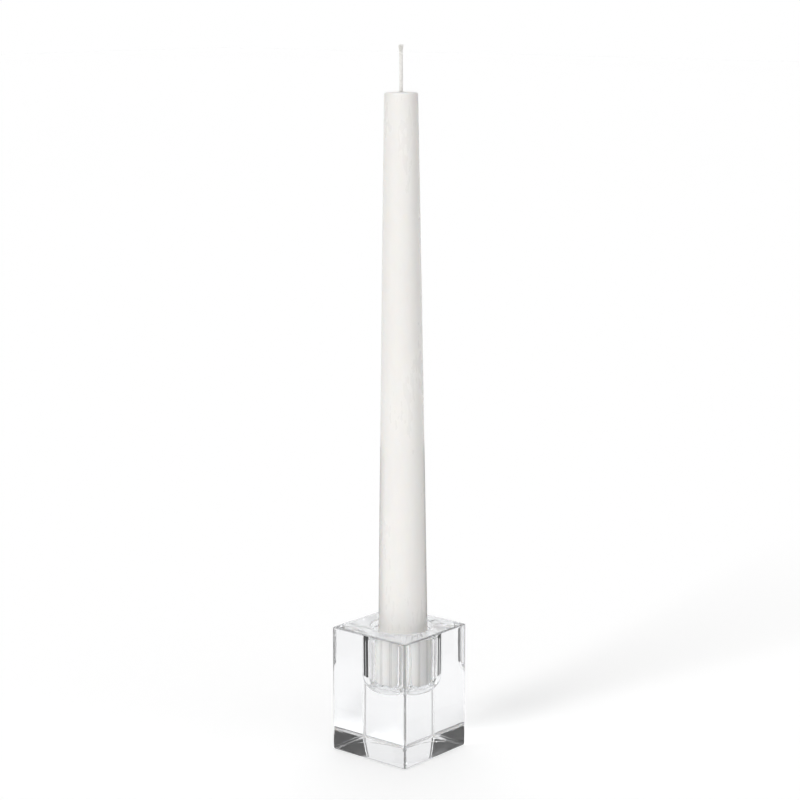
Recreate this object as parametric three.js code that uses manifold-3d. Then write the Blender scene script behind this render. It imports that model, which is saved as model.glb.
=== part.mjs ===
// Square pressed-glass candlestick with a fluted socket, holding a plain white taper candle.
// Millimetres, +Z up. The origin is the middle of the base, and the block's faces lie along X and Y.

import * as THREE from 'three';
import { mergeVertices } from 'three/addons/utils/BufferGeometryUtils.js';
import Module from 'manifold-3d';

const wasm = await Module();
wasm.setup();

// Glass block
const blockSide = 42;
const blockHeight = 56.3;
const cornerRadius = 1.3; // the four upright edges
const topEdgeRadius = 0.9;
const footEdgeRadius = 1.2;
const edgeSteps = 2; // facets in an eighth of a turn

// Hollow pressed into the underside, which leaves a flat land at each corner to stand on
const hollowRadius = 18.4;
const hollowDepth = 1.2;
const hollowSteps = 4;
const hollowSides = 48;

// Socket
const mouthRadius = 13.4;
const mouthLip = 0.8; // rounding from the top face into the mouth
const plainRim = 2.3; // smooth band under the top face
const wallRadius = 12.6; // of the lands between the flutes, just under the plain rim
const rimStep = 0.5; // height in which the rim runs in to the wall
const socketDepth = 28.2;
const floorRadius = 12.4; // where the wall runs into the floor's rounding
const floorRounding = 6.5;
const roundingSteps = 5;
const socketSides = 48;
const socketFloor = blockHeight - socketDepth;
const socketShift = 1; // the socket's axis stands a little off the block's middle
const socketShiftAngle = 40.2; // degrees from +X

// Flutes in the socket's wall, a narrow land of wall between one and the next
const fluteCount = 16;
const fluteRadius = 4.4;
const fluteReach = 0.3; // how far a flute cuts behind the wall
const fluteFloorGap = 5; // a flute stops this far above the socket's floor
const fluteSides = 32;
const fluteCapSteps = 6;

// Candle: a ten-inch taper with a seven-eighths foot
const candleLength = 256.8;
const footRadius = 11.1;
const tipRadius = 7.2;
const candleSwell = 0.12; // the taper is a little fuller at mid-height than a straight cone
const swellSteps = 6;
const candleEdge = 0.9;
const candleSides = 48;
const seatHeight = 3.9; // the foot's edge rests on the rounding, this far above the socket's floor
const candleShift = 0.7; // the foot stands a little further out than the socket's axis
const candleLean = 0.2; // degrees, towards the block's middle

// Wick
const wickRadius = 1;
const wickGap = 0.3; // round the wick, inside the wax
const wickOut = 20; // bare length above the wax
const frayLength = 6.5; // the loosened end
const frayRadius = 1.9;
const wickSides = 12;

const glass = new THREE.MeshStandardMaterial({ color: 0xf2f6f5, roughness: 0.02, metalness: 0 });
const wax = new THREE.MeshStandardMaterial({ color: 0xf1eeea, roughness: 0.45, metalness: 0 });
const cotton = new THREE.MeshStandardMaterial({ color: 0xeeece6, roughness: 0.9, metalness: 0 });

// Points of a round stretch, from one angle to another in degrees, both ends included.
function arc(centreX, centreY, radius, fromDegrees, toDegrees, steps) {
  const points = [];
  for (let i = 0; i <= steps; i++) {
    const angle = THREE.MathUtils.degToRad(THREE.MathUtils.lerp(fromDegrees, toDegrees, i / steps));
    points.push(new THREE.Vector2(centreX + radius * Math.cos(angle), centreY + radius * Math.sin(angle)));
  }
  return points;
}

// A closed body turned about +Z. The profile runs upwards, with the body on the axis side of it.
function turned(profile, sides) {
  const geometry = new THREE.LatheGeometry(profile, sides);
  geometry.rotateX(Math.PI / 2);
  return geometry;
}

// The same surface as a solid that can be cut and joined.
function toSolid(geometry) {
  const bare = geometry.clone();
  bare.deleteAttribute('normal');
  bare.deleteAttribute('uv');
  const merged = mergeVertices(bare, 1e-4);
  const index = merged.index.array;
  const triangles = [];
  for (let i = 0; i < index.length; i += 3) {
    const [a, b, c] = [index[i], index[i + 1], index[i + 2]];
    if (a !== b && b !== c && c !== a) {
      triangles.push(a, b, c);
    }
  }
  const mesh = new wasm.Mesh({
    numProp: 3,
    vertProperties: new Float32Array(merged.attributes.position.array),
    triVerts: new Uint32Array(triangles),
  });
  return new wasm.Manifold(mesh);
}

function toGeometry(solid) {
  const mesh = solid.getMesh();
  const geometry = new THREE.BufferGeometry();
  geometry.setAttribute('position', new THREE.BufferAttribute(mesh.vertProperties, 3));
  geometry.setIndex(new THREE.BufferAttribute(mesh.triVerts, 1));
  geometry.computeVertexNormals();
  return geometry;
}

// A straight bar with the given outline, centred on its own length, which runs along Z.
function bar(outline, length) {
  const options = { depth: length, curveSegments: edgeSteps, bevelEnabled: false };
  return new THREE.ExtrudeGeometry(outline, options).translate(0, 0, -length / 2);
}

// A square seen from above, with its four corners rounded.
function squareOutline() {
  const reach = blockSide / 2 - cornerRadius;
  const outline = new THREE.Shape();
  outline.absarc(reach, reach, cornerRadius, 0, Math.PI / 2, false);
  outline.absarc(-reach, reach, cornerRadius, Math.PI / 2, Math.PI, false);
  outline.absarc(-reach, -reach, cornerRadius, Math.PI, Math.PI * 1.5, false);
  outline.absarc(reach, -reach, cornerRadius, Math.PI * 1.5, Math.PI * 2, false);
  return outline;
}

// The block's side view, its rounding a little larger at the foot than at the top.
function sideOutline() {
  const half = blockSide / 2;
  const topReach = half - topEdgeRadius;
  const footReach = half - footEdgeRadius;
  const topCentre = blockHeight - topEdgeRadius;
  const outline = new THREE.Shape();
  outline.absarc(topReach, topCentre, topEdgeRadius, 0, Math.PI / 2, false);
  outline.absarc(-topReach, topCentre, topEdgeRadius, Math.PI / 2, Math.PI, false);
  outline.absarc(-footReach, footEdgeRadius, footEdgeRadius, Math.PI, Math.PI * 1.5, false);
  outline.absarc(footReach, footEdgeRadius, footEdgeRadius, Math.PI * 1.5, Math.PI * 2, false);
  return outline;
}

// The block is what an upright bar and two lying bars have in common.
function makeBlock() {
  const spare = 4;
  const upright = bar(squareOutline(), blockHeight + spare).translate(0, 0, blockHeight / 2);
  const alongY = bar(sideOutline(), blockSide + spare).rotateX(Math.PI / 2);
  const alongX = bar(sideOutline(), blockSide + spare).rotateX(Math.PI / 2).rotateZ(Math.PI / 2);
  return toSolid(upright).intersect(toSolid(alongY)).intersect(toSolid(alongX));
}

// From the block's middle towards the side that the socket and candle stand off to.
function offsetBy(distance) {
  const side = THREE.MathUtils.degToRad(socketShiftAngle);
  return new THREE.Vector3(Math.cos(side), Math.sin(side), 0).multiplyScalar(distance);
}

// The round cup of the socket, before its flutes.
function makeCup() {
  const aboveTop = 1;
  const flare = mouthRadius + mouthLip;
  const floorCentre = socketFloor + floorRounding;
  const floorArc = arc(floorRadius - floorRounding, floorCentre, floorRounding, -90, 0, roundingSteps);
  const lipArc = arc(flare, blockHeight - mouthLip, mouthLip, 180, 90, roundingSteps);
  const profile = [
    new THREE.Vector2(0, socketFloor),
    ...floorArc,
    new THREE.Vector2(wallRadius, blockHeight - plainRim - rimStep),
    new THREE.Vector2(mouthRadius, blockHeight - plainRim),
    ...lipArc,
    new THREE.Vector2(flare, blockHeight + aboveTop),
    new THREE.Vector2(0, blockHeight + aboveTop),
  ];
  return toSolid(turned(profile, socketSides));
}

// One flute: a round-ended rod, most of it inside the cup, that leans with the socket's wall.
function makeFlute() {
  const endReach = Math.sqrt(fluteRadius ** 2 - (fluteRadius - fluteReach) ** 2);
  const low = socketFloor + fluteFloorGap + endReach;
  const high = blockHeight - plainRim - rimStep - endReach;
  const rod = turned([
    ...arc(0, 0, fluteRadius, -90, 0, fluteCapSteps),
    ...arc(0, high - low, fluteRadius, 0, 90, fluteCapSteps),
  ], fluteSides);
  const slope = Math.atan2(wallRadius - floorRadius, socketDepth);
  rod.rotateY(slope);
  rod.translate(floorRadius + fluteReach - fluteRadius, 0, low);
  return rod;
}

function makeHolder() {
  let cutter = makeCup();
  for (let i = 0; i < fluteCount; i++) {
    const flute = makeFlute();
    flute.rotateZ((2 * Math.PI * i) / fluteCount);
    cutter = cutter.add(toSolid(flute));
  }
  const [offX, offY] = offsetBy(socketShift).toArray();
  return makeBlock().subtract(cutter.translate([offX, offY, 0])).subtract(makeUnderHollow());
}

// A shallow dome, sunk into the underside.
function makeUnderHollow() {
  const below = 1;
  const domeRadius = (hollowRadius ** 2 + hollowDepth ** 2) / (2 * hollowDepth);
  const domeAngle = THREE.MathUtils.radToDeg(Math.asin(hollowRadius / domeRadius));
  const profile = [
    new THREE.Vector2(0, -below),
    new THREE.Vector2(hollowRadius, -below),
    ...arc(0, hollowDepth - domeRadius, domeRadius, 90 - domeAngle, 90, hollowSteps),
  ];
  return toSolid(turned(profile, hollowSides));
}

// The wax, standing on its foot at z = 0, with a bore right through for the wick.
function makeCandle() {
  const bore = wickRadius + wickGap;
  const flank = [];
  for (let i = 1; i < swellSteps; i++) {
    const t = i / swellSteps;
    const swell = candleSwell * 4 * t * (1 - t);
    flank.push(new THREE.Vector2(THREE.MathUtils.lerp(footRadius, tipRadius, t) + swell, candleLength * t));
  }
  return turned([
    new THREE.Vector2(bore, 0),
    ...arc(footRadius - candleEdge, candleEdge, candleEdge, -90, 0, roundingSteps),
    ...flank,
    ...arc(tipRadius - candleEdge, candleLength - candleEdge, candleEdge, 0, 90, roundingSteps),
    new THREE.Vector2(bore, candleLength),
    new THREE.Vector2(bore, 0),
  ], candleSides);
}

// The wick, from the candle's foot to its loosened end.
function makeWick() {
  const end = candleLength + wickOut;
  return turned([
    new THREE.Vector2(0, 0),
    new THREE.Vector2(wickRadius, 0),
    new THREE.Vector2(wickRadius, end - frayLength),
    new THREE.Vector2(frayRadius, end - frayLength * 0.3),
    new THREE.Vector2(frayRadius, end),
    new THREE.Vector2(0, end),
  ], wickSides);
}

function namedMesh(name, geometry, material) {
  const mesh = new THREE.Mesh(geometry, material);
  mesh.name = name;
  return mesh;
}

// The candle and its wick stand in the socket as one piece, leaning a little.
function placeCandle(...pieces) {
  const standing = new THREE.Group();
  const across = offsetBy(socketShift + candleShift);
  const leanAxis = new THREE.Vector3(-across.y, across.x, 0).normalize();
  standing.position.copy(across);
  standing.position.z = socketFloor + seatHeight;
  standing.quaternion.setFromAxisAngle(leanAxis, THREE.MathUtils.degToRad(-candleLean));
  standing.add(...pieces);
  return standing;
}

const candlestick = new THREE.Group();
candlestick.add(
  namedMesh('glass_holder', toGeometry(makeHolder()), glass),
  placeCandle(
    namedMesh('taper_candle', makeCandle(), wax),
    namedMesh('wick', makeWick(), cotton),
  ),
);

export default candlestick;
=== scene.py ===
import math
import random

import bmesh
import bpy
from mathutils import Matrix, Vector


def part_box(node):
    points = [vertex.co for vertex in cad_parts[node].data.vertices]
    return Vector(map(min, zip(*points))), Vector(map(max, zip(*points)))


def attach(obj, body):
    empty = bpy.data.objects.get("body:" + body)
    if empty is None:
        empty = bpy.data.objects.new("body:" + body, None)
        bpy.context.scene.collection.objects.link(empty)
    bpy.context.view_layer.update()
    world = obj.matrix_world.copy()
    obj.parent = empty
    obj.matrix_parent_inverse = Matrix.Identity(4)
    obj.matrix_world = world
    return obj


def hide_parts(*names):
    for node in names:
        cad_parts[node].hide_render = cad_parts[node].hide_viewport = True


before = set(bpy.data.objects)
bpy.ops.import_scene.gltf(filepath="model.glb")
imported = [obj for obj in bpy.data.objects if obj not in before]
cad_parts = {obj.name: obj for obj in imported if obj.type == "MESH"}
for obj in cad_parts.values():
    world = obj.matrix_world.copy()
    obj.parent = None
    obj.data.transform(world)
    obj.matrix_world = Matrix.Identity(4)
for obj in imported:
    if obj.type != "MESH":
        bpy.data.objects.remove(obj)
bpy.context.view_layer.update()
mm = 0.001

holderLow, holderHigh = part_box("glass_holder")
candleLow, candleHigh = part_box("taper_candle")

# where the camera stands, in metres from the middle of the block's foot
# angles are in degrees and the lens is in millimetres
view = {
    "angle": 40.2,  # from the front face, towards +X
    "away": 0.9139,
    "height": 0.3321,
    "pitch": 10.84,
    "turn": 0.021,
    "lens": 97.1,
}


def arc(centreX, centreY, radius, fromDegrees, toDegrees, steps):
    # points of a round stretch, both ends included
    points = []
    for i in range(steps + 1):
        angle = math.radians(fromDegrees + (toDegrees - fromDegrees) * i / steps)
        points.append((centreX + radius * math.cos(angle), centreY + radius * math.sin(angle)))
    return points


def spunMesh(profile, steps):
    # profile points are (radius, height) in millimetres, joined up and spun once round Z
    bm = bmesh.new()
    verts = [bm.verts.new((r * mm, 0, z * mm)) for r, z in profile]
    edges = [bm.edges.new(pair) for pair in zip(verts, verts[1:])]
    bmesh.ops.spin(bm, geom=verts + edges, cent=(0, 0, 0), axis=(0, 0, 1),
                   angle=2 * math.pi, steps=steps, use_merge=True)
    bmesh.ops.remove_doubles(bm, verts=bm.verts, dist=1e-6)
    bmesh.ops.recalc_face_normals(bm, faces=bm.faces)
    return bm


def addPiece(name, bm, smooth=True):
    mesh = bpy.data.meshes.new(name)
    bm.to_mesh(mesh)
    bm.free()
    for face in mesh.polygons:
        face.use_smooth = smooth
    piece = bpy.data.objects.new(name, mesh)
    bpy.context.scene.collection.objects.link(piece)
    return piece


def applyModifiers(piece):
    graph = bpy.context.evaluated_depsgraph_get()
    mesh = bpy.data.meshes.new_from_object(piece.evaluated_get(graph))
    piece.modifiers.clear()
    piece.data = mesh


def cutAway(piece, cutter):
    cut = piece.modifiers.new("cut", "BOOLEAN")
    cut.operation = "DIFFERENCE"
    cut.solver = "EXACT"
    cut.object = cutter
    applyModifiers(piece)
    bpy.data.objects.remove(cutter)


def candleAxis():
    # the candle leans a little, so its foot and its top are read from its frame solid
    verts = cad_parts["taper_candle"].data.vertices
    low = [v.co for v in verts if v.co.z < candleLow.z + 0.5 * mm]
    high = [v.co for v in verts if v.co.z > candleHigh.z - 0.5 * mm]
    return sum(low, Vector()) / len(low), sum(high, Vector()) / len(high)


def standOnAxis(bm, foot, tip):
    lean = (tip - foot).to_track_quat("Z", "Y").to_matrix().to_4x4()
    bmesh.ops.transform(bm, matrix=Matrix.Translation(foot) @ lean, verts=bm.verts)


# sizes in millimetres
block = {
    "side": (holderHigh.x - holderLow.x) / mm,
    "height": holderHigh.z / mm,
    "cornerRadius": 1.3,
    "topRadius": 0.9,
    "footRadius": 1.2,
    "roundSteps": 8,
    "hollowRadius": 18.4,
    "hollowDepth": 1.2,
    # painted reflection: how dark the reflection painted into the rounded edges' colour is
    "paintedReflection": 1.0,  # how dark the rounded edges look
}

socket = {
    "mouthRadius": 13.4,
    "lip": 0.8,
    "plainRim": 2.3,
    "rimStep": 0.5,
    # radius and height past the mouth's radius and the plain rim's foot
    "rimRounding": [(-0.35, -0.3), (-0.1, -0.1), (0, 0.2)],
    "wallRadius": 12.6,
    "depth": 28.2,
    "floorRadius": 12.4,
    "floorRounding": 6.5,
    "flutes": 16,
    "fluteReach": 0.3,
    "fluteFloorGap": 5.0,
    "fluteEnd": 2.4,  # height in which a flute fades out at its ends
    "stepsPerFlute": 18,
    "wallRows": 36,
    "shift": 1.0,  # the socket stands a little off the block's middle
    "shiftSide": 40.2,
    # painted reflection: how dark the reflection painted on the two flanks of each land is
    "paintedRidgeReflection": 0.45,  # how dark the two flanks of a land between flutes look
    "ridgeAt": 0.84,  # where a flank is, from 0 in a flute's middle to 1 in a land's
    "ridgeWidth": 0.11,
}


def makeBlock():
    half = block["side"] * mm / 2
    height = block["height"] * mm
    widest = max(block["cornerRadius"], block["topRadius"], block["footRadius"])
    bm = bmesh.new()
    bmesh.ops.create_cube(bm, size=1, matrix=Matrix.Translation((0, 0, height / 2))
                          @ Matrix.Diagonal((2 * half, 2 * half, height, 1)))
    weight = bm.edges.layers.float.new("bevel_weight_edge")
    for edge in bm.edges:
        levels = sorted(v.co.z for v in edge.verts)
        radius = block["cornerRadius"]
        if levels[1] < height / 2:
            radius = block["footRadius"]
        elif levels[0] > height / 2:
            radius = block["topRadius"]
        edge[weight] = radius / widest
    piece = addPiece("GlassHolder", bm)
    rounding = piece.modifiers.new("rounding", "BEVEL")
    rounding.limit_method = "WEIGHT"
    rounding.width = widest * mm
    rounding.segments = block["roundSteps"]
    rounding.profile = 0.5
    rounding.use_clamp_overlap = False
    applyModifiers(piece)
    return piece


def fluteDepth(angle, z):
    # how far the wall is pushed out at this angle and height, 0 on the lands
    s = socket
    pitch = 2 * math.pi / s["flutes"]
    turn = ((angle + pitch / 2) % pitch) / pitch * 2 - 1  # 0 in a flute's middle
    top = block["height"] - s["plainRim"] - s["rimStep"]
    foot = block["height"] - s["depth"] + s["fluteFloorGap"]
    low = min(1, (z - foot) / s["fluteEnd"])
    high = min(1, (top - z) / s["fluteEnd"])
    if low <= 0 or high <= 0:
        return 0
    fade = 1 - (1 - min(low, high)) ** 2  # round ends
    return s["fluteReach"] * max(0, fade - turn ** 2)


def socketOffset():
    side = math.radians(socket["shiftSide"])
    return socket["shift"] * math.cos(side), socket["shift"] * math.sin(side)


def makeSocketCutter():
    s = socket
    top = block["height"]
    floor = top - s["depth"]
    flare = s["mouthRadius"] + s["lip"]
    wallTop = top - s["plainRim"] - s["rimStep"]
    wallFoot = floor + s["floorRounding"]
    profile = arc(s["floorRadius"] - s["floorRounding"], wallFoot, s["floorRounding"], -90, 0, 12)
    profile = [(0, floor)] + [(profile[0][0] * k / 4, floor) for k in range(1, 4)] + profile
    for i in range(1, s["wallRows"] + 1):
        t = i / s["wallRows"]
        radius = s["floorRadius"] + (s["wallRadius"] - s["floorRadius"]) * t
        profile.append((radius, wallFoot + (wallTop - wallFoot) * t))
    rimFoot = top - s["plainRim"]
    profile += [(s["mouthRadius"] + out, rimFoot + up) for out, up in s["rimRounding"]]
    profile += arc(flare, top - s["lip"], s["lip"], 180, 90, 8)
    profile += [(flare, top + 1), (0, top + 1)]
    bm = spunMesh(profile, s["flutes"] * s["stepsPerFlute"])
    for v in bm.verts:
        radius = math.hypot(v.co.x, v.co.y)
        if radius > s["floorRadius"] * mm * 0.9:
            deeper = fluteDepth(math.atan2(v.co.y, v.co.x), v.co.z / mm) * mm
            v.co.x *= 1 + deeper / radius
            v.co.y *= 1 + deeper / radius
    offX, offY = socketOffset()
    bmesh.ops.translate(bm, verts=bm.verts, vec=(offX * mm, offY * mm, 0))
    return addPiece("socketCutter", bm)


def makeHollowCutter():
    r, d = block["hollowRadius"], block["hollowDepth"]
    dome = (r * r + d * d) / (2 * d)
    below = 0.6  # the cutter reaches this far under the base
    edge = math.sqrt(dome * dome - (dome - d - below) ** 2)
    half = math.degrees(math.asin(edge / dome))
    profile = [(0, -below)] + arc(0, d - dome, dome, 90 - half, 90, 16)
    return addPiece("hollowCutter", spunMesh(profile, 96))


def paintedRidgeReflection(x, y, z):
    # a painted dark reflection on the socket's wall: strongest on the flanks of each land, nothing in a
    # flute's middle or on the floor
    s = socket
    offX, offY = socketOffset()
    x -= offX
    y -= offY
    floor = block["height"] - s["depth"]
    top = block["height"] - s["plainRim"] - s["rimStep"]
    inside = math.hypot(x, y) < s["mouthRadius"] - 0.1
    if not inside or z < floor + s["fluteFloorGap"] or z > top:
        return 0
    pitch = 2 * math.pi / s["flutes"]
    turn = abs(((math.atan2(y, x) + pitch / 2) % pitch) / pitch * 2 - 1)
    return s["paintedRidgeReflection"] * math.exp(-((turn - s["ridgeAt"]) / s["ridgeWidth"]) ** 2)


def paintReflections(holder):
    # one number per face, which the glass reads as a painted dark reflection: roundings of the block and
    # lands of the socket
    paintedDarkness = holder.data.attributes.new("paintedReflection", "FLOAT", "FACE")
    reach = block["side"] / 2 - max(block["cornerRadius"], block["footRadius"]) - 0.05
    for face in holder.data.polygons:
        x, y, z = (v / mm for v in face.center)
        slant = (1 - max(abs(v) for v in face.normal)) / (1 - math.sqrt(0.5))
        outer = max(abs(x), abs(y)) > reach
        value = min(1, slant) * block["paintedReflection"] if outer else paintedRidgeReflection(x, y, z)
        paintedDarkness.data[face.index].value = value


def makeHolder():
    holder = makeBlock()
    cutAway(holder, makeSocketCutter())
    cutAway(holder, makeHollowCutter())
    for face in holder.data.polygons:
        n = face.normal
        # the six flat faces stay flat, every rounding is smooth
        face.use_smooth = max(abs(n.x), abs(n.y), abs(n.z)) < 0.99999
    # painted reflection: dark surroundings seen in the roundings and lands are painted into the glass's
    # colour
    paintReflections(holder)
    return holder


# sizes in millimetres
wax = {
    "footRadius": 11.1,
    "tipRadius": 7.2,
    "edge": 0.9,
    "swell": 0.12,
    "bore": 1.3,
    "rows": 40,
    "sides": 96,
    "dish": 0.25,  # how far the poured top sinks towards the wick
    "collar": 0.45,  # wax drawn up round the wick
    "collarLip": (0.15, 0.1),  # how far its edge leans in, and how high that edge is
    # radius and height over the dish's floor, from the top's rim to the foot of the collar
    "crown": [(4.6, 0.16), (3.2, 0), (2.2, 0), (1.6, 0.12)],
}


def makeCandle(foot, tip):
    w = wax
    length = (tip - foot).length / mm
    profile = [(w["bore"], 0)] + arc(w["footRadius"] - w["edge"], w["edge"], w["edge"], -90, 0, 6)
    for i in range(1, w["rows"]):
        t = i / w["rows"]
        swell = w["swell"] * 4 * t * (1 - t)
        profile.append((w["footRadius"] + (w["tipRadius"] - w["footRadius"]) * t + swell, length * t))
    profile += arc(w["tipRadius"] - w["edge"], length - w["edge"], w["edge"], 0, 90, 8)
    low = length - w["dish"]
    profile += [(radius, low + height) for radius, height in w["crown"]]
    leanIn, lipHeight = w["collarLip"]
    collarTop = low + w["collar"]
    profile += [(w["bore"], collarTop), (w["bore"] - leanIn, collarTop + lipHeight)]
    profile += [(w["bore"], low - 1), (w["bore"], 0)]
    bm = spunMesh(profile, w["sides"])
    standOnAxis(bm, foot, tip)
    return addPiece("TaperCandle", bm)


# sizes in millimetres; the braid shows above the wax, a plain core runs down the bore
cotton = {
    "bare": 20.0,
    "core": 0.82,
    "strands": 3,
    "strandRadius": 0.5,
    "swing": 0.5,  # how far a strand wanders from the middle
    "flatness": 0.55,  # the braid's thickness as a share of its width
    "pitch": 4.2,  # height of one full crossing of the braid
    "stepsPerPitch": 18,
    "hidden": 3.0,  # how far the braid starts below the wax
    "fray": 3.4,
    "fibres": 70,
    "fibreRadius": 0.075,
    "fibreSteps": 8,
    "knot": 0.35,  # how far out the innermost fibre starts
    "knotSpread": 0.45,
    "flare": 0.1,  # how much further out it ends
    "flareSpread": 0.75,
    "flareCurve": 1.6,
    "kink": 0.35,
    "kinkTurns": 1.6,  # kinks in the bare length, counted in half waves
    "seed": 11,
}


def wickBend(z, base):
    # a slight kink just above the wax, back in line higher up
    c = cotton
    rise = max(0, z - base) / c["bare"]
    return c["kink"] * math.sin(math.pi * min(1, rise * c["kinkTurns"])) * (1 - 0.4 * rise)


def makeWick(foot, tip):
    c = cotton
    rng = random.Random(c["seed"])
    waxTop = (tip - foot).length / mm
    end = waxTop + c["bare"]
    curve = bpy.data.curves.new("braid", "CURVE")
    curve.dimensions = "3D"
    curve.bevel_depth = mm
    curve.bevel_resolution = 2
    curve.use_fill_caps = True

    def strand(points, radii):
        spline = curve.splines.new("POLY")
        spline.points.add(len(points) - 1)
        for spot, (x, y, z), radius in zip(spline.points, points, radii):
            spot.co = (x * mm, y * mm, z * mm, 1)
            spot.radius = radius

    strand([(0, 0, 0.2), (0, 0, waxTop * 0.5), (0, 0, waxTop - 1)], [c["core"]] * 3)
    start = waxTop - c["hidden"]
    stop = end - c["fray"]
    count = int((stop - start) / c["pitch"] * c["stepsPerPitch"])
    for k in range(c["strands"]):
        points = []
        for i in range(count + 1):
            z = start + (stop - start) * i / count
            phase = 2 * math.pi * ((z - start) / c["pitch"] + k / c["strands"])
            x = c["swing"] * math.sin(phase) + wickBend(z, waxTop)
            y = c["swing"] * c["flatness"] * math.sin(2 * phase)
            points.append((x, y, z))
        strand(points, [c["strandRadius"]] * (count + 1))
    for k in range(c["fibres"]):
        angle = 2 * math.pi * k / c["fibres"] * 5 + rng.uniform(-0.3, 0.3)
        splay = rng.uniform(0.0, 1.0)
        height = c["fray"] * rng.uniform(0.72, 1.0)
        curl = rng.uniform(-0.35, 0.35)
        points = []
        radii = []
        for i in range(c["fibreSteps"] + 1):
            t = i / c["fibreSteps"]
            flare = (c["flare"] + c["flareSpread"] * splay) * t ** c["flareCurve"]
            reach = c["knot"] + c["knotSpread"] * splay + flare
            x = reach * math.cos(angle + curl * t) + wickBend(stop, waxTop)
            y = reach * 0.75 * math.sin(angle + curl * t)
            points.append((x, y, stop - 1 + (height + 1) * t))
            radii.append(c["fibreRadius"] * (1 - 0.5 * t ** 2))
        strand(points, radii)
    braid = bpy.data.objects.new("braid", curve)
    bpy.context.scene.collection.objects.link(braid)
    graph = bpy.context.evaluated_depsgraph_get()
    mesh = bpy.data.meshes.new_from_object(braid.evaluated_get(graph))
    bpy.data.objects.remove(braid)
    bm = bmesh.new()
    bm.from_mesh(mesh)
    bmesh.ops.remove_doubles(bm, verts=bm.verts, dist=1e-7)
    bmesh.ops.recalc_face_normals(bm, faces=bm.faces)
    standOnAxis(bm, foot, tip)
    return addPiece("Wick", bm)


def newMaterial(name):
    material = bpy.data.materials.new(name)
    material.use_nodes = True
    return material, material.node_tree.nodes["Principled BSDF"], material.node_tree


def unevenGroup():
    # two sizes of soft mottling; Mask picks out patches, Height is for a bump
    group = bpy.data.node_groups.new("Unevenness", "ShaderNodeTree")
    face = group.interface
    face.new_socket("Position", in_out="INPUT", socket_type="NodeSocketVector")
    for name, value in (("Scale", 80.0), ("Fine Scale", 900.0), ("Fine Share", 0.3),
                        ("Low", 0.4), ("High", 0.65)):
        face.new_socket(name, in_out="INPUT", socket_type="NodeSocketFloat").default_value = value
    face.new_socket("Mask", in_out="OUTPUT", socket_type="NodeSocketFloat")
    face.new_socket("Height", in_out="OUTPUT", socket_type="NodeSocketFloat")
    nodes, links = group.nodes, group.links
    given = nodes.new("NodeGroupInput")
    out = nodes.new("NodeGroupOutput")
    broad = nodes.new("ShaderNodeTexNoise")
    broad.inputs["Detail"].default_value = 3
    fine = nodes.new("ShaderNodeTexNoise")
    fine.inputs["Detail"].default_value = 2
    links.new(given.outputs["Position"], broad.inputs["Vector"])
    links.new(given.outputs["Position"], fine.inputs["Vector"])
    links.new(given.outputs["Scale"], broad.inputs["Scale"])
    links.new(given.outputs["Fine Scale"], fine.inputs["Scale"])
    blend = nodes.new("ShaderNodeMix")
    links.new(given.outputs["Fine Share"], blend.inputs["Factor"])
    links.new(broad.outputs["Fac"], blend.inputs["A"])
    links.new(fine.outputs["Fac"], blend.inputs["B"])
    pick = nodes.new("ShaderNodeMapRange")
    links.new(blend.outputs["Result"], pick.inputs["Value"])
    links.new(given.outputs["Low"], pick.inputs["From Min"])
    links.new(given.outputs["High"], pick.inputs["From Max"])
    links.new(pick.outputs["Result"], out.inputs["Mask"])
    links.new(blend.outputs["Result"], out.inputs["Height"])
    return group


def placeUneven(tree, group, stretch=(1, 1, 1), **values):
    # the group on object coordinates, stretched along an axis where the pattern runs
    where = tree.nodes.new("ShaderNodeTexCoord")
    scaled = tree.nodes.new("ShaderNodeMapping")
    scaled.inputs["Scale"].default_value = stretch
    tree.links.new(where.outputs["Object"], scaled.inputs["Vector"])
    node = tree.nodes.new("ShaderNodeGroup")
    node.node_tree = group
    tree.links.new(scaled.outputs["Vector"], node.inputs["Position"])
    for name, value in values.items():
        node.inputs[name.replace("_", " ")].default_value = value
    return node


def spread(tree, factor, low, high, target):
    # a number that goes from low to high with the mask
    node = tree.nodes.new("ShaderNodeMapRange")
    node.inputs["To Min"].default_value = low
    node.inputs["To Max"].default_value = high
    tree.links.new(factor, node.inputs["Value"])
    tree.links.new(node.outputs["Result"], target)


def tint(tree, factor, first, second, target):
    node = tree.nodes.new("ShaderNodeMix")
    node.data_type = "RGBA"
    node.inputs["A"].default_value = (*first, 1)
    node.inputs["B"].default_value = (*second, 1)
    tree.links.new(factor, node.inputs["Factor"])
    tree.links.new(node.outputs["Result"], target)


def addBump(tree, height, strength, distance, target):
    node = tree.nodes.new("ShaderNodeBump")
    node.inputs["Strength"].default_value = strength
    node.inputs["Distance"].default_value = distance
    tree.links.new(height, node.inputs["Height"])
    tree.links.new(node.outputs["Normal"], target)


glassLook = {
    "index": 1.54,
    "ripple": 0.25,
    "roughest": 0.02,
    "clean": (0.94, 0.945, 0.955),
    "smudged": (0.91, 0.916, 0.926),
    # painted reflection: the near black colour put into the glass on its roundings and the lands' flanks
    "edge": (0.03, 0.032, 0.035),
    "shadow": (0.78, 0.79, 0.79),
}


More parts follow.
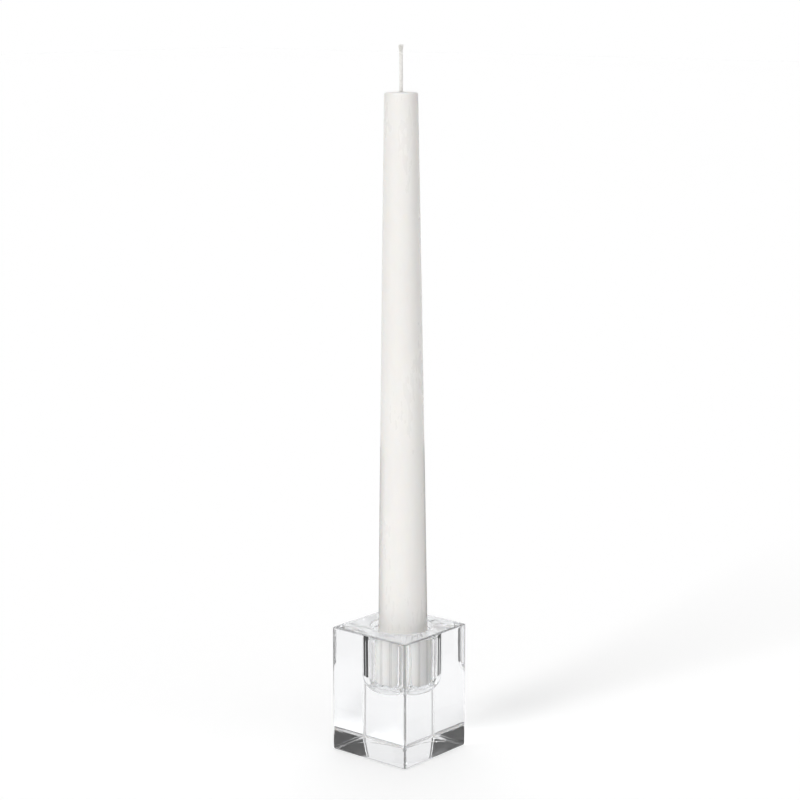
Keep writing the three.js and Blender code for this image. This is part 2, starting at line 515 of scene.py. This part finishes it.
def glassMaterial(group):
    material, shader, tree = newMaterial("ClearGlass")
    shader.inputs["IOR"].default_value = glassLook["index"]
    shader.inputs["Transmission Weight"].default_value = 1.0
    ripple = placeUneven(tree, group, Scale=70, Fine_Scale=260, Fine_Share=0.15)
    addBump(tree, ripple.outputs["Height"], glassLook["ripple"], 0.2 * mm, shader.inputs["Normal"])
    smudge = placeUneven(tree, group, Scale=130, Fine_Scale=1500, Fine_Share=0.35, Low=0.52, High=0.72)
    spread(tree, smudge.outputs["Mask"], 0, glassLook["roughest"], shader.inputs["Roughness"])
    # painted reflection: the base colour turns near black where the face attribute says
    edge = tree.nodes.new("ShaderNodeAttribute")
    edge.attribute_name = "paintedReflection"
    withPaintedReflection = tree.nodes.new("ShaderNodeMix")
    withPaintedReflection.data_type = "RGBA"
    withPaintedReflection.inputs["B"].default_value = (*glassLook["edge"], 1)
    tint(tree, smudge.outputs["Mask"], glassLook["clean"], glassLook["smudged"], withPaintedReflection.inputs["A"])
    tree.links.new(edge.outputs["Fac"], withPaintedReflection.inputs["Factor"])
    tree.links.new(withPaintedReflection.outputs["Result"], shader.inputs["Base Color"])
    # shadow rays pass, a little dimmed, so that the wax inside the socket is lit
    clear = tree.nodes.new("ShaderNodeBsdfTransparent")
    clear.inputs["Color"].default_value = (*glassLook["shadow"], 1)
    path = tree.nodes.new("ShaderNodeLightPath")
    mixed = tree.nodes.new("ShaderNodeMixShader")
    tree.links.new(path.outputs["Is Shadow Ray"], mixed.inputs["Fac"])
    tree.links.new(shader.outputs["BSDF"], mixed.inputs[1])
    tree.links.new(clear.outputs["BSDF"], mixed.inputs[2])
    tree.links.new(mixed.outputs["Shader"], tree.nodes["Material Output"].inputs["Surface"])
    return material


def waxMaterial(group):
    material, shader, tree = newMaterial("CandleWax")
    shader.inputs["Subsurface Weight"].default_value = 0.35
    shader.inputs["Subsurface Radius"].default_value = (1.0, 0.75, 0.55)
    shader.inputs["Subsurface Scale"].default_value = 0.004
    mottle = placeUneven(tree, group, stretch=(1, 1, 0.3), Scale=90, Fine_Scale=700, Fine_Share=0.3)
    tint(tree, mottle.outputs["Mask"], (0.842, 0.828, 0.804), (0.824, 0.808, 0.783),
         shader.inputs["Base Color"])
    spread(tree, mottle.outputs["Mask"], 0.27, 0.36, shader.inputs["Roughness"])
    addBump(tree, mottle.outputs["Height"], 0.14, 0.2 * mm, shader.inputs["Normal"])
    return material


def cottonMaterial(group):
    material, shader, tree = newMaterial("WickCotton")
    shader.inputs["Sheen Weight"].default_value = 0.25
    fibre = placeUneven(tree, group, stretch=(1, 1, 0.25), Scale=1500, Fine_Scale=6000, Fine_Share=0.5)
    tint(tree, fibre.outputs["Mask"], (0.88, 0.87, 0.84), (0.74, 0.725, 0.69), shader.inputs["Base Color"])
    spread(tree, fibre.outputs["Mask"], 0.75, 0.95, shader.inputs["Roughness"])
    addBump(tree, fibre.outputs["Height"], 0.6, 0.1 * mm, shader.inputs["Normal"])
    return material


# light levels round the studio; degrees to the right of where the camera looks
studio = {
    "walls": [(-180, 0.75), (-148, 0.75), (-132, 0.02), (-42, 0.01), (-30, 0.9),
              (28, 0.9), (40, 0.01), (100, 0.03), (120, 0.7), (180, 0.75)],
    "ceiling": 0.95,
    "wallTop": 40.0,  # degrees above the floor where the side flags end
    "ceilingFrom": 58.0,
    "sunSide": -137.0,
    "sunHeight": 33.0,
    "sunSize": 18.0,
    "sunStrength": 1.25,
    "floor": 0.88,
    "floorGlow": 0.24,  # the table is lit a little from below
    "cards": [(-78, -17), (17, 60)],  # black cards at the back corners of the table
    "cardAway": 0.09,
    "cardHeight": 0.12,
    "bounces": 24,  # light turns many times inside the glass
    "allBounces": 32,
    "diffuseBounces": 6,
}


def makeStage():
    bm = bmesh.new()
    bmesh.ops.create_grid(bm, x_segments=1, y_segments=1, size=8)
    bmesh.ops.translate(bm, verts=bm.verts, vec=(0, 0, -0.1 * mm))
    floor = addPiece("Floor", bm, smooth=False)
    material, shader, tree = newMaterial("PaleFloor")
    shader.inputs["Base Color"].default_value = (studio["floor"],) * 3 + (1,)
    shader.inputs["Roughness"].default_value = 0.9
    shader.inputs["Emission Color"].default_value = (1, 1, 1, 1)
    shader.inputs["Emission Strength"].default_value = studio["floorGlow"]
    floor.data.materials.append(material)


def cardMaterial():
    # black only to light that has already turned inside the glass, clear to everything else
    material, shader, tree = newMaterial("BlackCard")
    shader.inputs["Base Color"].default_value = (0.005, 0.005, 0.005, 1)
    shader.inputs["Specular IOR Level"].default_value = 0
    clear = tree.nodes.new("ShaderNodeBsdfTransparent")
    path = tree.nodes.new("ShaderNodeLightPath")
    turned = tree.nodes.new("ShaderNodeMath")
    turned.operation = "GREATER_THAN"
    turned.inputs[1].default_value = 0.5
    mixed = tree.nodes.new("ShaderNodeMixShader")
    tree.links.new(path.outputs["Glossy Depth"], turned.inputs[0])
    tree.links.new(turned.outputs["Value"], mixed.inputs["Fac"])
    tree.links.new(clear.outputs["BSDF"], mixed.inputs[1])
    tree.links.new(shader.outputs["BSDF"], mixed.inputs[2])
    tree.links.new(mixed.outputs["Shader"], tree.nodes["Material Output"].inputs["Surface"])
    return material


def makeCards():
    material = cardMaterial()
    for k, (first, last) in enumerate(studio["cards"]):
        bm = bmesh.new()
        low = bm.verts.new((0, studio["cardAway"], 0))
        high = bm.verts.new((0, studio["cardAway"], studio["cardHeight"]))
        edge = bm.edges.new((low, high))
        start = math.radians(view["angle"] - first)
        bmesh.ops.rotate(bm, verts=bm.verts, matrix=Matrix.Rotation(start, 3, "Z"))
        bmesh.ops.spin(bm, geom=[low, high, edge], cent=(0, 0, 0), axis=(0, 0, 1),
                       angle=math.radians(first - last), steps=16)
        card = addPiece("Card" + "LR"[k], bm)
        card.data.materials.append(material)
        card.visible_camera = False
        card.visible_diffuse = False
        card.visible_shadow = False


def makeCamera():
    data = bpy.data.cameras.new("Camera")
    camera = bpy.data.objects.new("Camera", data)
    bpy.context.scene.collection.objects.link(camera)
    side = math.radians(view["angle"])
    pitch = math.radians(view["pitch"])
    camera.location = (math.sin(side) * view["away"], -math.cos(side) * view["away"], view["height"])
    heading = side - math.radians(view["turn"])
    look = Vector((-math.sin(heading) * math.cos(pitch), math.cos(heading) * math.cos(pitch),
                   -math.sin(pitch)))
    camera.rotation_mode = "QUATERNION"
    camera.rotation_quaternion = look.to_track_quat("-Z", "Y")
    data.sensor_width = 36
    data.lens = view["lens"]
    bpy.context.scene.camera = camera


def makeWorld():
    world = bpy.data.worlds.new("Studio")
    bpy.context.scene.world = world
    world.use_nodes = True
    nodes, links = world.node_tree.nodes, world.node_tree.links
    background = nodes["Background"]
    where = nodes.new("ShaderNodeTexCoord")
    turned = nodes.new("ShaderNodeMapping")
    turned.inputs["Rotation"].default_value = (0, 0, -math.radians(view["angle"]))
    links.new(where.outputs["Generated"], turned.inputs["Vector"])
    parts = nodes.new("ShaderNodeSeparateXYZ")
    links.new(turned.outputs["Vector"], parts.inputs["Vector"])
    around = nodes.new("ShaderNodeMath")
    around.operation = "ARCTAN2"
    links.new(parts.outputs["X"], around.inputs[0])
    links.new(parts.outputs["Y"], around.inputs[1])
    share = nodes.new("ShaderNodeMapRange")
    share.inputs["From Min"].default_value = -math.pi
    share.inputs["From Max"].default_value = math.pi
    links.new(around.outputs["Value"], share.inputs["Value"])
    ramp = nodes.new("ShaderNodeValToRGB")
    stops = ramp.color_ramp.elements
    while len(stops) < len(studio["walls"]):
        stops.new(0.5)
    for stop, (degrees, level) in zip(stops, studio["walls"]):
        stop.position = (degrees + 180) / 360
        stop.color = (level, level, level, 1)
    links.new(share.outputs["Result"], ramp.inputs["Fac"])
    upper = nodes.new("ShaderNodeMapRange")
    upper.interpolation_type = "SMOOTHSTEP"
    upper.inputs["From Min"].default_value = math.sin(math.radians(studio["wallTop"]))
    upper.inputs["From Max"].default_value = math.sin(math.radians(studio["ceilingFrom"]))
    links.new(parts.outputs["Z"], upper.inputs["Value"])
    room = nodes.new("ShaderNodeMix")
    room.data_type = "RGBA"
    room.inputs["B"].default_value = (studio["ceiling"],) * 3 + (1,)
    links.new(upper.outputs["Result"], room.inputs["Factor"])
    links.new(ramp.outputs["Color"], room.inputs["A"])
    path = nodes.new("ShaderNodeLightPath")
    seen = nodes.new("ShaderNodeMix")
    seen.data_type = "RGBA"
    seen.inputs["B"].default_value = (1, 1, 1, 1)
    links.new(path.outputs["Is Camera Ray"], seen.inputs["Factor"])
    links.new(room.outputs["Result"], seen.inputs["A"])
    links.new(seen.outputs["Result"], background.inputs["Color"])


def makeSun():
    lamp = bpy.data.lights.new("SoftKey", "SUN")
    lamp.energy = studio["sunStrength"]
    lamp.angle = math.radians(studio["sunSize"])
    key = bpy.data.objects.new("SoftKey", lamp)
    bpy.context.scene.collection.objects.link(key)
    heading = math.radians(view["angle"]) - math.radians(studio["sunSide"])
    height = math.radians(studio["sunHeight"])
    towards = Vector((-math.sin(heading) * math.cos(height), math.cos(heading) * math.cos(height),
                      math.sin(height)))
    key.rotation_mode = "QUATERNION"
    key.rotation_quaternion = towards.to_track_quat("Z", "Y")


bpy.context.scene.view_settings.view_transform = "Standard"
cycles = bpy.context.scene.cycles
cycles.max_bounces = studio["allBounces"]
cycles.glossy_bounces = studio["bounces"]
cycles.transmission_bounces = studio["bounces"]
cycles.diffuse_bounces = studio["diffuseBounces"]
makeCamera()
makeWorld()
makeSun()
makeStage()
makeCards()
print("studio and camera are set")

uneven = unevenGroup()

holder = makeHolder()
holder.data.materials.clear()
holder.data.materials.append(glassMaterial(uneven))
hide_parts("glass_holder")
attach(holder, "holder")
print("glass holder:", len(holder.data.vertices), "points")

candleFoot, candleTip = candleAxis()
candle = makeCandle(candleFoot, candleTip)
candle.data.materials.append(waxMaterial(uneven))
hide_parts("taper_candle")
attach(candle, "candle")
print("taper candle:", len(candle.data.vertices), "points")

wick = makeWick(candleFoot, candleTip)
wick.data.materials.append(cottonMaterial(uneven))
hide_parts("wick")
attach(wick, "candle")
print("wick:", len(wick.data.vertices), "points")
